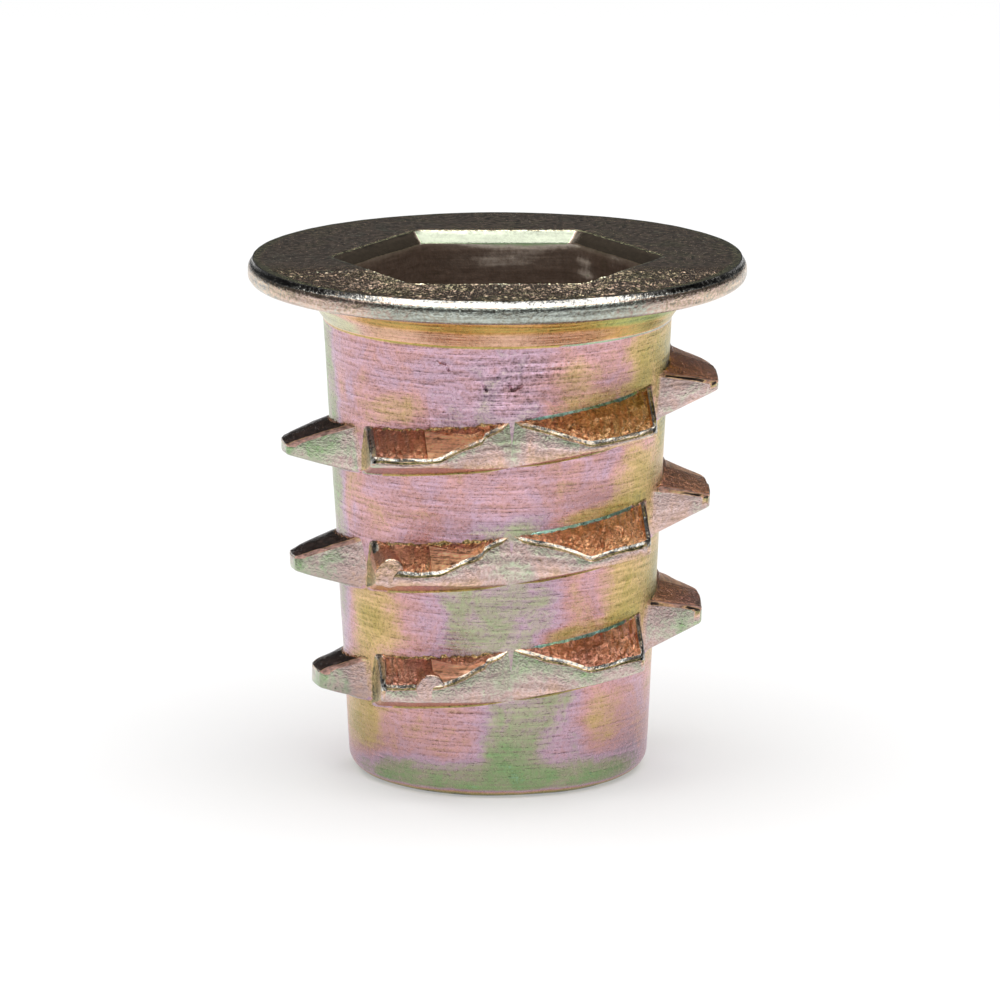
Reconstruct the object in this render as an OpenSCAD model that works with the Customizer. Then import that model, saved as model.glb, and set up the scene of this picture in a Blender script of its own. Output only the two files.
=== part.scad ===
// Flanged hex-drive insert nut for wood, one zinc die casting.
// Millimetres. +Z runs from the narrow leading end up to the flange.
// The origin is at the centre of the leading end face.

/* [Overall] */
// Length from the leading end to the flange's top face
insert_length = 13.0; // [11.5:0.1:16]

/* [Flange] */
// Diameter of the flange
flange_d = 12.42; // [11.6:0.02:15]
// Thickness of the flange at its rim
flange_t = 0.58; // [0.5:0.02:1.2]
// Rounding of the rim's upper edge
rim_top_r = 0.24; // [0.05:0.01:0.28]
// Rounding of the rim's lower edge
rim_low_r = 0.24; // [0.05:0.01:0.24]

/* [Neck] */
// Height of the flared neck between the body and the flange
neck_h = 0.89; // [0.5:0.01:1.2]
// Flare of the neck, measured from the axis
neck_angle = 35; // [15:1:42]

/* [Body] */
// Diameter of the tapered body where the neck begins
body_top_d = 8.68; // [8.5:0.02:9.4]
// Diameter that the taper reaches at the leading end
body_end_d = 7.44; // [7.3:0.02:8.2]
// Rounding of the leading edge
nose_r = 0.49; // [0.2:0.01:0.52]

/* [Bore] */
// Minor diameter of the machine thread, for a 1/4 inch screw with 20 threads an inch
bore_d = 5.10; // [4.6:0.05:5.4]
// Width of the countersink at the leading end
bore_chamfer = 0.35; // [0.1:0.05:0.4]

/* [Hex drive] */
// Width across the flats of the socket, for a 1/4 inch key
hex_af = 6.60; // [6.4:0.05:6.7]
// Depth of the socket below the flange's top face
hex_depth = 4.6; // [4.2:0.1:5.4]
// Width of the bevel round the socket's mouth
hex_chamfer = 0.28; // [0.05:0.01:0.32]
// Width of the conical step from the socket's floor into the bore
floor_step = 0.45; // [0.1:0.05:0.5]

/* [Wood thread] */
// Axial advance of the wood thread in one turn
pitch = 2.89; // [2.7:0.01:3.0]
// Height of the crest of the lowest full rib above the leading end
rib_start_z = 3.34; // [3.1:0.02:3.5]
// Crest diameter at the highest rib
crest_top_d = 11.06; // [10.6:0.02:11.4]
// Crest diameter at the lowest full rib
crest_low_d = 10.14; // [9.7:0.02:10.4]
// Crest diameter of the faded rib that leads the thread in
crest_lead_d = 9.32; // [8.9:0.02:9.8]
// Thickness of the blunt crest at the highest rib
crest_top_t = 0.20; // [0.08:0.01:0.28]
// Thickness of the blunt crest at the lowest full rib
crest_low_t = 0.42; // [0.2:0.01:0.48]
// Slope of a rib's upper flank from horizontal
upper_flank = 24; // [18:1:28]
// Slope of a rib's lower flank from horizontal
lower_flank = 17; // [12:1:20]

/* [Die slides] */
// Direction in which the first slide draws, turned from -Y towards +X
slide_phase = 4.8; // [-30:0.2:30]
// Angle from the slide's direction to the end of a rib's lower lobe
low_end_angle = 55.6; // [50:0.2:57]
// Angle from the slide's direction to the end of a rib's upper lobe
high_end_angle = 58.5; // [50:0.2:59]
// Half width of the notch between a rib's two lobes, at the crest
notch_half_w = 1.85; // [1.2:0.05:2.3]
// Height by which the second slide's ribs stand above the true helix
slide_two_step = 0.10; // [0:0.01:0.15]
// Height by which the third slide's ribs stand above the true helix
slide_three_step = 0.04; // [0:0.01:0.15]

/* [Pin marks] */
// Diameter of the round pads that the first slide's pins leave on two ribs
pin_d = 0.62; // [0.4:0.02:0.8]
// Distance of the pad on the middle rib from the slide's centre line
middle_pin_x = 3.03; // [2.2:0.01:3.1]
// Distance of the pad on the lowest full rib from the slide's centre line
low_pin_x = 2.04; // [1.6:0.01:2.6]
// Depth of a pad's centre below its rib's height
pin_drop = 0.28; // [0.1:0.01:0.5]

/* [Hidden] */
$fn = 96;

// The body's finish is a yellow chromate over cast zinc.
chromate = "#c3a489";

// Heights
flange_under_z = insert_length - flange_t;
neck_z = flange_under_z - neck_h;
hex_floor_z = insert_length - hex_depth;

// Radii of the body, at the leading end and at the neck
body_end_r = body_end_d / 2;
body_top_r = body_top_d / 2;
neck_top_r = body_top_r + neck_h * tan(neck_angle);
flange_r = flange_d / 2;
bore_r = bore_d / 2;

// Slides: three, spaced evenly round the axis
slide_count = 3;
slide_turn = 360 / slide_count;
slide_steps = [0, slide_two_step, slide_three_step];
full_ribs = 8;
rib_rise = pitch / slide_count;
// Depth to which a rib runs into the body's wall
rib_sink = 0.22;
// Angle from the slide's direction at which a lobe's ridge is tangent to the helix
lobe_mid_angle = 32;
// Radius at which a tilted ridge has the helix's slope
lead_r = 4.8;
lead_angle = atan(pitch / (2 * PI * lead_r));
// Depth below the body's surface at which the notch's walls meet
notch_sink = 0.03;
// Length of a pin pad inside the body's surface
pin_root = 0.4;
// The ribs of the first slide that carry a pin pad
low_pin_rib = 0;
middle_pin_rib = 3;
// Margin by which cutting shapes run past what they cut
over = 1;
// Segments in a quarter of a rounded edge
edge_steps = 6;

function body_r(z) = body_end_r + (body_top_r - body_end_r) * z / neck_z;

// Height, crest radius and crest thickness of rib k. Rib -1 is the faded lead-in rib.
function rib_slide(k) = (k + slide_count) % slide_count;
function rib_z(k) = rib_start_z + k * rib_rise + slide_steps[rib_slide(k)];
function along_ribs(k, low, high) = low + (high - low) * k / (full_ribs - 1);
function rib_crest_r(k) = (k < 0 ? crest_lead_d : along_ribs(k, crest_low_d, crest_top_d)) / 2;
function rib_crest_t(k) = along_ribs(k, crest_low_t, crest_top_t);

// Points of an arc about centre c, from angle a to angle b
function arc(c, r, a, b) = [
    for (i = [0:edge_steps])
        let (t = a + (b - a) * i / edge_steps)
            c + r * [cos(t), sin(t)]
];

// Half section of the outside: leading end, tapered body, flared neck and flange
module outside_section() {
    taper = atan((body_top_r - body_end_r) / neck_z);
    nose_x = body_r(nose_r) - nose_r / cos(taper);
    polygon(concat(
        [[0, 0]],
        arc([nose_x, nose_r], nose_r, -90, -taper),
        [[body_top_r, neck_z], [neck_top_r, flange_under_z]],
        arc([flange_r - rim_low_r, flange_under_z + rim_low_r], rim_low_r, -90, 0),
        arc([flange_r - rim_top_r, insert_length - rim_top_r], rim_top_r, 0, 90),
        [[0, insert_length]]
    ));
}

module blank() {
    color(chromate) rotate_extrude() outside_section();
}

// Half section of a rib's ridge. Its blunt crest hangs down from the height of the rib.
module ridge_section(k) {
    crest_r = rib_crest_r(k);
    crest_t = rib_crest_t(k);
    root_r = body_r(rib_z(k)) - rib_sink;
    reach = crest_r - root_r;
    polygon([
        [root_r, reach * tan(upper_flank)],
        [root_r, -crest_t - reach * tan(lower_flank)],
        [crest_r, -crest_t],
        [crest_r, 0]
    ]);
}

// Plan of one lobe on the side of +X, with the slide drawing along -Y.
// Its notch wall slants from the crest back to the body at the slide's direction,
// and its end face is parallel to the draw.
module lobe_plan(k, end_angle) {
    wall_r = body_r(rib_z(k));
    root_r = wall_r - rib_sink;
    crest_r = rib_crest_r(k);
    end_x = wall_r * sin(end_angle);
    apex_y = wall_r - notch_sink;
    crest_y = sqrt(crest_r * crest_r - notch_half_w * notch_half_w);
    notch_slope = (crest_y - apex_y) / notch_half_w;
    far_y = crest_r + over;
    far_x = min((far_y - apex_y) / notch_slope, end_x);
    polygon([
        [0, -root_r + over],
        [0, -apex_y],
        [far_x, -apex_y - far_x * notch_slope],
        [end_x, -far_y],
        [end_x, -root_r * cos(end_angle) + over]
    ]);
}

// One lobe of rib k: side is 1 for the upper lobe, towards +X, and -1 for the lower
module lobe(k, side) {
    end_angle = side > 0 ? high_end_angle : low_end_angle;
    mid = side * lobe_mid_angle;
    intersection() {
        translate([0, 0, pitch * mid / 360])
            rotate([0, 0, mid]) rotate([0, -lead_angle, 0])
                rotate_extrude() ridge_section(k);
        translate([0, 0, -pitch])
            linear_extrude(height = 2 * pitch)
                scale([side, 1]) lobe_plan(k, end_angle);
    }
}

module rib(k) {
    translate([0, 0, rib_z(k)])
        rotate([0, 0, slide_phase + k * slide_turn])
            for (side = [-1, 1]) lobe(k, side);
}

module wood_thread() {
    color(chromate) for (k = [-1:full_ribs - 1]) rib(k);
}

// Short pin on the lower lobe of rib k, with its flat end at the crest.
// x is its distance from the centre line of the slide, which draws along -Y.
module pin_pad(k, x) {
    wall_r = body_r(rib_z(k));
    crest_r = rib_crest_r(k);
    root_y = sqrt(wall_r * wall_r - x * x) - pin_root;
    face_y = sqrt(crest_r * crest_r - x * x);
    rotate([0, 0, slide_phase])
        translate([-x, -root_y, rib_z(k) - pin_drop])
            rotate([90, 0, 0]) cylinder(h = face_y - root_y, d = pin_d);
}

module pin_marks() {
    color(chromate) {
        pin_pad(low_pin_rib, low_pin_x);
        pin_pad(middle_pin_rib, middle_pin_x);
    }
}

// Hexagonal socket with flats towards -Y and +Y, and a bevelled mouth
module hex_socket() {
    corner = 1 / cos(30);
    across = hex_af / 2 * corner;
    mouth = (hex_af / 2 + hex_chamfer) * corner;
    grow = (mouth - across) * over / hex_chamfer;
    translate([0, 0, hex_floor_z]) cylinder(h = hex_depth + over, r = across, $fn = 6);
    translate([0, 0, insert_length - hex_chamfer])
        cylinder(h = hex_chamfer + over, r1 = across, r2 = mouth + grow, $fn = 6);
}

module bore() {
    translate([0, 0, -over]) cylinder(h = hex_floor_z + 2 * over, r = bore_r);
    translate([0, 0, -over])
        cylinder(h = bore_chamfer + over, r1 = bore_r + bore_chamfer + over, r2 = bore_r);
    translate([0, 0, hex_floor_z - floor_step])
        cylinder(h = floor_step, r1 = bore_r, r2 = bore_r + floor_step);
}

module insert() {
    difference() {
        union() {
            blank();
            wood_thread();
            pin_marks();
        }
        color(chromate) hex_socket();
        color(chromate) bore();
    }
}

insert();
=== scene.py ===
"""Flanged hex-drive insert nut for wood: one zinc die casting with a yellow chromate finish.

Shapes are worked out in millimetres and brought to metres when the casting is whole. +Z runs from the
narrow leading end up to the flange. The first die slide draws nearly along -Y. A turn is an angle from
-Y towards +X, in degrees. The film is a place on a finish's row of colours, and the drag is how hard a
slide scraped the casting; below 0 the drag is painted shade that darkens the casting. Both are kept on
the mesh, vertex by vertex.
"""
from math import asin, atan, atan2, ceil, cos, degrees, exp, hypot, pi, radians, sin, sqrt, tan

import bmesh
import bpy
from mathutils import Matrix, Vector, noise


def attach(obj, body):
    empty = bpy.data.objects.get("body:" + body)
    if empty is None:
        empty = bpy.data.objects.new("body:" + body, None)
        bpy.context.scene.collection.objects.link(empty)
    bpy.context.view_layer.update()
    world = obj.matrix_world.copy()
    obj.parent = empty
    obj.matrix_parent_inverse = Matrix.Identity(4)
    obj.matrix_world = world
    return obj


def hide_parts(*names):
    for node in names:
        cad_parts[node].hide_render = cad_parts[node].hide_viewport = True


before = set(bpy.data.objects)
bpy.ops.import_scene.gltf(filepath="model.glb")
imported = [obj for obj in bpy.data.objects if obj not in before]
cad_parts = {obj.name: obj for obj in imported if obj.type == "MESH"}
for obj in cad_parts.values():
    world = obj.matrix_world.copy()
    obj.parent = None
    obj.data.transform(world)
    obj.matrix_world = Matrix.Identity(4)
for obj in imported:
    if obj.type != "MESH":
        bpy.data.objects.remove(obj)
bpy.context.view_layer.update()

# ---- Sizes, in millimetres and degrees --------------------------------------------------------

MM = 0.001

# Overall, flange and neck
LENGTH = 13.0
FLANGE_R = 6.21
FLANGE_T = 0.58
RIM_LOW_R = 0.20
NECK_H = 0.89
NECK_ANGLE = 35
# Body and bore
BODY_TOP_R = 4.34
BODY_END_R = 3.72
NOSE_R = 0.49
BORE_R = 2.55
BORE_CHAMFER = 0.35
# Hexagonal socket
HEX_AF = 6.60
HEX_DEPTH = 4.6
HEX_CHAMFER = 0.28
FLOOR_STEP = 0.45
# Unified inch thread, 20 to the inch, tapped in the bore
TAP_PITCH = 1.27
TAP_MAJOR_R = 3.175
TAP_FLANK_ANGLE = 30
# Wood thread
PITCH = 2.89
RIB_START_Z = 3.34
CREST_TOP_R = 5.53
CREST_LOW_R = 5.07
CREST_LEAD_R = 4.66
CREST_TOP_T = 0.20
CREST_LOW_T = 0.42
UPPER_FLANK = 24
LOWER_FLANK = 17
FULL_RIBS = 8
# Die slides
SLIDES = 3
SLIDE_TURN = 360 / SLIDES
SLIDE_PHASE = 4.8
SLIDE_STEPS = (0, 0.10, 0.04)
LOW_END_ANGLE = 55.6
HIGH_END_ANGLE = 58.5
NOTCH_HALF_W = 1.85
NOTCH_SINK = 0.006

UNDER_Z = LENGTH - FLANGE_T
NECK_Z = UNDER_Z - NECK_H
NECK_TOP_R = BODY_TOP_R + NECK_H * tan(radians(NECK_ANGLE))
FLOOR_Z = LENGTH - HEX_DEPTH
BEVEL_Z = LENGTH - HEX_CHAMFER
TAPER = (BODY_TOP_R - BODY_END_R) / NECK_Z

# Steps of a full turn, and the longest edge of a half section that is spun
SEGMENTS = 180
MESH_STEP = 0.18
# Slack for telling which surface a vertex lies on
NEAR = 0.01

# Places of the finishes in the casting's list
WALL, TIP, FLANK, FACET, WORN, NECK, TOP, SOCKET = range(8)


def body_r(z):
    """Radius of the tapered body at a height."""
    return BODY_END_R + TAPER * z


def turn_of(place):
    """Angle of a place from -Y towards +X, in degrees."""
    return degrees(atan2(place.x, -place.y))


def smooth(low, high, x):
    """Ease from 0 at low to 1 at high."""
    t = min(1, max(0, (x - low) / (high - low)))
    return t * t * (3 - 2 * t)


def fall_back(radius, depth):
    """How far an edge of that radius has fallen back at a depth from its end."""
    inside = max(0, radius - depth)
    return radius - sqrt(radius ** 2 - inside ** 2)


def arc(x, z, r, start, end, steps):
    """Points of an arc about (x, z)."""
    turns = [radians(start + (end - start) * i / steps) for i in range(steps + 1)]
    return [(x + r * cos(t), z + r * sin(t)) for t in turns]


def bend(x, z, steps):
    """Points about a corner at (x, z), each given as its steps outward and up."""
    return [(x + out, z + up) for out, up in steps]


def wire(bm, points, spacing=None):
    """Draw a chain of edges through (radius, height) points, cut to the spacing."""
    verts = [bm.verts.new((r, 0, z)) for r, z in points]
    edges = [bm.edges.new(pair) for pair in zip(verts, verts[1:])]
    for edge in edges if spacing else []:
        cuts = ceil(edge.calc_length() / spacing) - 1
        if cuts > 0:
            bmesh.ops.subdivide_edges(bm, edges=[edge], cuts=cuts)


def gather(parts):
    """One mesh of all the parts."""
    whole = bmesh.new()
    for part in parts:
        mesh = bpy.data.meshes.new("part")
        part.to_mesh(mesh)
        whole.from_mesh(mesh)
        bpy.data.meshes.remove(mesh)
        part.free()
    return whole


def in_order(bm, falling):
    """The same mesh, with its edges and faces in an order that follows from its vertices. spin leaves
    them in another one each run, and cutting them finer depends on it. An edge starts at its end with
    the lower number or, where falling, at the other one."""
    bm = gather([bm])
    bm.verts.index_update()
    verts = list(bm.verts)
    pairs = sorted(sorted((v.index for v in edge.verts), reverse=falling) for edge in bm.edges)
    rings = sorted(([v.index for v in face.verts], face.material_index) for face in bm.faces)
    for edge in list(bm.edges):
        bm.edges.remove(edge)
    for pair in pairs:
        bm.edges.new([verts[i] for i in pair])
    for ring, finish in rings:
        bm.faces.new([verts[i] for i in ring]).material_index = finish
    bm.normal_update()
    return bm


# ---- Casting: outside, flange, socket and tapped bore ----------------------------------------

# The rim's upper edge is worn to a bevel, above a face that leans in: (inward, down from the top)
RIM_EDGE = ((0.0005, 0.27), (0.007, 0.218), (0.021, 0.175), (0.038, 0.145), (0.062, 0.110), (0.090, 0.088),
            (0.188, 0.005), (0.216, 0))
# How far in the top's edge reaches, and how much further out it lies at the sides than in front
RIM_TOP_IN = 0.26
RIM_SIDE_OUT = 0.07
RIM_SIDES = (12, 45)
# Bends of the half section about its corners: neck and body, neck and flange, then the socket's
# mouth, the foot of its bevel and its floor
NECK_BEND = ((-0.003, -0.06), (0.006, -0.012), (0.024, 0.03))
UNDER_BEND = ((-0.02, -0.03), (0.03, 0))
MOUTH_BEND = ((0.30, 0), (0.07, -0.008), (0.015, -0.03))
BEVEL_BEND = ((0.03, 0.015), (0, -0.04))
FLOOR_BEND = ((0, 0.05), (-0.05, 0))
# Sharpness of the hexagon's corners, and the radius at which the top's rings are round again
HEX_POWER = 44
HEX_FADE_R = 5.1
# The tapped thread's crest is a little wider than a quarter of the pitch, with eased corners
TAP_CREST_EXTRA = 0.05
TAP_EASE = (0.02, 0.04)
# Turns drawn below the leading end and in all beyond the bore's length
TAP_BELOW = 2
TAP_SPARE = 3


def hex_stretch(angle):
    """How much further out a hexagon with slightly soft corners lies than its flats."""
    flats = [abs(cos(angle - radians(30 + 60 * i))) for i in range(3)]
    return sum(f ** HEX_POWER for f in flats) ** (-1 / HEX_POWER)


def spun_shell():
    """Everything but the ribs and the tapped bore, spun from one half section."""
    slope = atan(TAPER)
    nose_x = body_r(NOSE_R) - NOSE_R / cos(slope)
    wall_r = HEX_AF / 2
    mouth_r = wall_r + HEX_CHAMFER
    floor_r = BORE_R + FLOOR_STEP
    bm = bmesh.new()
    wire(bm, [(BORE_R + BORE_CHAMFER, 0)]
         + arc(nose_x, NOSE_R, NOSE_R, -90, -degrees(slope), 10)
         + bend(BODY_TOP_R, NECK_Z, NECK_BEND)
         + bend(NECK_TOP_R, UNDER_Z, UNDER_BEND)
         + arc(FLANGE_R - RIM_LOW_R, UNDER_Z + RIM_LOW_R, RIM_LOW_R, -90, 0, 8)
         + [(FLANGE_R - inward, LENGTH - down) for inward, down in RIM_EDGE]
         + bend(mouth_r, LENGTH, MOUTH_BEND)
         + bend(wall_r, BEVEL_Z, BEVEL_BEND)
         + bend(wall_r, FLOOR_Z, FLOOR_BEND)
         + [(floor_r, FLOOR_Z)],
         spacing=MESH_STEP)
    bmesh.ops.spin(bm, geom=bm.verts[:] + bm.edges[:], cent=(0, 0, 0), axis=(0, 0, 1),
                   angle=2 * pi, steps=SEGMENTS, use_merge=True)
    for v in bm.verts:
        r = hypot(v.co.x, v.co.y)
        in_socket = v.co.z > FLOOR_Z - NEAR and r < wall_r + NEAR / 10
        at_mouth = v.co.z > BEVEL_Z - 0.1 and r < HEX_FADE_R
        if in_socket or at_mouth:
            reach = smooth(HEX_FADE_R, mouth_r, r) if r > wall_r else smooth(floor_r, wall_r, r)
            v.co.xy *= 1 + reach * (hex_stretch(atan2(v.co.y, v.co.x)) - 1)
        elif v.co.z > LENGTH - 2 * NEAR and r > FLANGE_R - RIM_TOP_IN:
            v.co.xy *= 1 + RIM_SIDE_OUT * smooth(*RIM_SIDES, abs(turn_of(v.co))) / r
    return bm


def tapped_bore():
    """Helical thread wall, which runs out in the countersink and in the conical step."""
    flank = (TAP_MAJOR_R - BORE_R) * tan(radians(TAP_FLANK_ANGLE))
    crest = TAP_PITCH / 4 + TAP_CREST_EXTRA
    root = TAP_PITCH - crest - 2 * flank
    out, along = TAP_EASE
    turn = [(BORE_R + out, 0), (BORE_R, along), (BORE_R, crest - along), (BORE_R + out, crest),
            (TAP_MAJOR_R, crest + flank), (TAP_MAJOR_R, crest + flank + root)]
    turns = ceil(FLOOR_Z / TAP_PITCH) + TAP_SPARE
    bm = bmesh.new()
    wire(bm, [(r, z + (i - TAP_BELOW) * TAP_PITCH) for i in range(turns) for r, z in turn])
    bmesh.ops.spin(bm, geom=bm.verts[:] + bm.edges[:], cent=(0, 0, 0), axis=(0, 0, 1),
                   dvec=(0, 0, TAP_PITCH / SEGMENTS), angle=2 * pi, steps=SEGMENTS)
    for v in bm.verts:
        v.co.z = min(FLOOR_Z, max(0, v.co.z))
        r = hypot(v.co.x, v.co.y)
        below_floor = FLOOR_Z - v.co.z
        cones = max(BORE_R + BORE_CHAMFER - v.co.z, BORE_R + FLOOR_STEP - below_floor)
        run_out = min(BORE_R + BORE_CHAMFER + v.co.z, BORE_R + FLOOR_STEP + below_floor)
        v.co.xy *= max(min(r, run_out), cones) / r
    bmesh.ops.remove_doubles(bm, verts=bm.verts, dist=1e-4)
    bmesh.ops.dissolve_degenerate(bm, edges=bm.edges, dist=1e-5)
    return bm


# ---- Interrupted wood thread -----------------------------------------------------------------

# Spacing of a rib's stations, and their distances from its end face where they crowd together
STATION = 0.085
END_STATIONS = (0.42, 0.34, 0.26, 0.19, 0.13, 0.08, 0.055, 0.033, 0.016, 0.004, 0)
# Rounding of a lobe's crest into its end face, seen along the axis, and of the end face's edges
LOBE_CORNER_R = 0.30
END_EDGE_R = 0.08
# Softening of the corner between notch and crest: its width and the depth taken off
NOTCH_SOFT = (0.1, 0.025)
# A lower lobe's flank steps down inside these angles, by up to the drop, outside the step's radius
FACET_ANGLES = (-30, -10)
FACET_DROP = 0.10
FACET_INSET = (0.12, 0.46)
# How far the end face flares at the wall, and how far along the rib it does so
END_FLARE = 0.12
FLARE_ALONG = 0.35

# Rows of a rib's section from its root, sunk in the wall, to its tip. Each has a share of the way
# to the tip, a shift outward in millimetres and a lift off the flank.
UPPER_ROWS = ((0, -0.22, 0.10), (0, -0.006, 0.085), (0, 0.010, 0.046), (0, 0.032, 0.020), (0, 0.075, 0.002),
              (0, 0.10, 0), ("step", -0.02, 0), ("step", 0.02, 0), (0.62, 0, 0), (0.75, 0, 0), (1, -0.19, 0),
              (1, -0.085, 0), (1, -0.072, 0), (1, -0.037, -0.034), (1, -0.024, -0.050), (1, -0.011, -0.078),
              (1, 0, -0.120))
LOWER_ROWS = ((0, -0.22, 0.07), (0, -0.006, 0.050), (0, 0.006, 0.028), (0, 0.020, 0.012), (0, 0.046, 0.001),
              (0, 0.10, 0), (0.2, 0, 0), (0.35, 0, 0), (0.5, 0, 0), (0.62, 0, 0), (0.75, 0, 0), (0.85, 0, 0),
              (1, -0.09, 0), (1, -0.060, 0), (1, -0.035, -0.004), (1, -0.010, -0.016), (1, 0, -0.045))
# Last row of the root's fillet, first row past the scraped step and first row of the edge
FILLET_ROW = 4
STEP_ROW = 7
EDGE_ROW = 11
# First and last row of the worn crest, and the row of the dark line below it, a painted shade
WORN_ROWS = (12, 14)
LINE_ROW = 15
# Heights of a rib at which its flank and its edge have their full shape, the least share of it that
# a lower rib keeps, and the least gap between two rows
FLANK_FULL = 0.4
EDGE_FULL = 0.12
LEAST_SHARE = 0.03
ROW_GAP = 0.003

# Wear of the crests, slide by slide, and the height of the burrs on the edges of the end faces
SLIDE_WEAR = (1, 0.3, 0.3)
BURR = (0.09, 0.04, 0.04)
END_WEAR = 0.11
# Small chips along a crest and the slower wander of its height
CHIP = 0.018
WANDER = 0.05

# Length of a pin pad inside the wall, and the width of its worn edge
PAD_ROOT = 0.3
PAD_EDGE = 0.06

# Film on the root fillets: yellow, and blue-green above the first slide's upper lobes
ROOT_FILM = (0.14, 0.95)
# Film on the left-hand end faces of the first slide's ribs, and slide by slide where the edge of an
# end face is worn
END_FILM = 0.12
WORN_END_FILM = (0.20, 0.85, 0.85)
# The dark broken line along the edge of the second slide's end faces: its width and its film
END_LINE = 0.04
END_LINE_FILM = 0.01
# Film on the pin pads, and on the upper flanks of the third slide's upper lobes
PAD_FILM = 0.50
DARK_FLANK_FILM = -0.12
# Film on the last rows of a section: the worn crest, the dark line below it, a painted shade for the dark
# that the crest's rounding reflects, and the pale band
CREST_FILM = (0.38, 0.36, 0.34, 0.002, 0.70)


def rib_facts(k):
    """Height, wall radius, crest radius and crest thickness of rib k. Rib -1 is the faded lead-in rib."""
    share = k / (FULL_RIBS - 1)
    z = RIB_START_Z + k * PITCH / SLIDES + SLIDE_STEPS[k % SLIDES]
    crest_r = CREST_LEAD_R if k < 0 else CREST_LOW_R + (CREST_TOP_R - CREST_LOW_R) * share
    return z, body_r(z), crest_r, CREST_LOW_T + (CREST_TOP_T - CREST_LOW_T) * share


def lobe_plan(wall_r, crest_r, end_angle):
    """Stations of one lobe from the notch to its end face: sideways, outward and distance to that face."""
    end_x = wall_r * sin(radians(end_angle))
    apex = wall_r - NOTCH_SINK
    slope = (sqrt(crest_r ** 2 - NOTCH_HALF_W ** 2) - apex) / NOTCH_HALF_W
    centre_x = end_x - LOBE_CORNER_R
    centre_y = sqrt((crest_r - LOBE_CORNER_R) ** 2 - centre_x ** 2)
    corner_x = crest_r * centre_x / (crest_r - LOBE_CORNER_R)
    plain = end_x - END_STATIONS[0]
    even = ceil(plain / STATION)
    places = [plain * i / even for i in range(even + 1)] + [end_x - d for d in END_STATIONS[1:]]
    width, depth = NOTCH_SOFT
    stations = []
    for x in places:
        if x < corner_x:
            crest = sqrt(crest_r ** 2 - x ** 2)
            notch = apex + slope * x
            soft = max(0, width - abs(crest - notch)) / width
            out = min(crest, notch) - soft ** 2 * depth
        else:
            out = centre_y + sqrt(LOBE_CORNER_R ** 2 - (x - centre_x) ** 2)
        stations.append((x, out, end_x - x))
    return stations


def fit_to(height, row):
    """Share of its full size that the shape of a row has on a rib of that height."""
    return min(1, max(LEAST_SHARE, height / (EDGE_FULL if row >= EDGE_ROW else FLANK_FULL)))


def rib_rows(rows, height, facet):
    """How far outside the wall each row of a rib's section lies, in order from its root to its tip."""
    outs = []
    for row, (share, shift, _) in enumerate(rows):
        if share == "step":
            inset = FACET_INSET[0] + (FACET_INSET[1] - FACET_INSET[0]) * facet
            outs.append((inset + shift) * fit_to(height, row))
        else:
            outs.append(height * share + shift * (fit_to(height, row) if row else 1))
    for row in range(len(outs) - 2, -1, -1):
        outs[row] = min(outs[row], outs[row + 1] - ROW_GAP)
    return outs


def rib_point(k, row, station, upper):
    """Where the vertex of a row and a station lies, on the upper or lower side of rib k."""
    z, wall_r, crest_r, crest_t = rib_facts(k)
    x, out, to_end = station
    rows = UPPER_ROWS if upper else LOWER_ROWS
    _, shift, lift = rows[row]
    height = hypot(x, out) - wall_r
    scale = fit_to(height, row)
    worn_off = fall_back(END_EDGE_R, to_end)
    turn = degrees(asin(x / wall_r))
    facet = min(1, max(0, (turn - FACET_ANGLES[0]) / (FACET_ANGLES[1] - FACET_ANGLES[0])))
    r = wall_r + rib_rows(rows, height, facet)[row]
    # Each rib has a stretch of the noise to itself
    ragged = Vector((k * 17.3, 5.1, 2.7))
    chip = wander = 0
    if row >= EDGE_ROW:
        if upper:
            r += shift * scale * (SLIDE_WEAR[k % SLIDES] - 1)
            lift *= SLIDE_WEAR[k % SLIDES]
        r -= worn_off
        chip = noise.noise(Vector((x * 3, row * 0.35, upper * 9)) + ragged) * CHIP * scale
        wander = (noise.noise(Vector((x * 1.7, 3, upper * 9)) + ragged) - 0.25) * WANDER * scale
    flank = max(0, crest_r - max(r, wall_r))
    if upper:
        drop = FACET_DROP * facet if row >= STEP_ROW and turn < FACET_ANGLES[1] else 0
        rise = flank * tan(radians(UPPER_FLANK)) + lift * scale - worn_off - drop * scale + chip + wander
    else:
        rise = -crest_t - flank * tan(radians(LOWER_FLANK)) - lift * scale + worn_off
    if upper and row > FILLET_ROW and 0 < to_end < END_WEAR:
        rise += (noise.noise(Vector((row * 0.9, to_end * 20, 1)) + ragged) - 0.2) * BURR[k % SLIDES]
    r += chip
    flare = fall_back(END_FLARE, max(0, r - wall_r)) * max(0, 1 - to_end / FLARE_ALONG)
    angle = asin((x + (flare if x > 0 else -flare)) / r)
    climb = PITCH * angle / (2 * pi)
    r += TAPER * climb
    return r * sin(angle), -r * cos(angle), z + climb + rise


def rib_film(k, row, station, upper):
    """Film of the vertex of a row and a station of rib k, or 0 where the spots on the ribs give it."""
    x, _, to_end = station
    slide = k % SLIDES
    if 1 <= row <= FILLET_ROW and to_end > FLARE_ALONG and slide == 0:
        return ROOT_FILM[1 if x >= 0 and upper else 0]
    if to_end == 0:
        return END_FILM if x < 0 and slide == 0 else 0
    if not upper or row <= FILLET_ROW:
        return 0
    if to_end < END_WEAR:
        unbroken = noise.noise(Vector((row * 1.7, k * 1.3, 7.7))) < 0.25
        return END_LINE_FILM if slide == 1 and to_end < END_LINE and unbroken else WORN_END_FILM[slide]
    if row < WORN_ROWS[0]:
        return DARK_FLANK_FILM if x > 0 and slide == 2 else 0
    film = CREST_FILM[row - WORN_ROWS[0]]
    if row == LINE_ROW:
        # The painted dark line breaks off here and there, and is fainter on the second and third slides
        film += 0.3 * max(0, noise.noise(Vector((x * 2.2, k * 3.7, 0.5)))) + 0.06 * (slide > 0)
    return film


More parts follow.
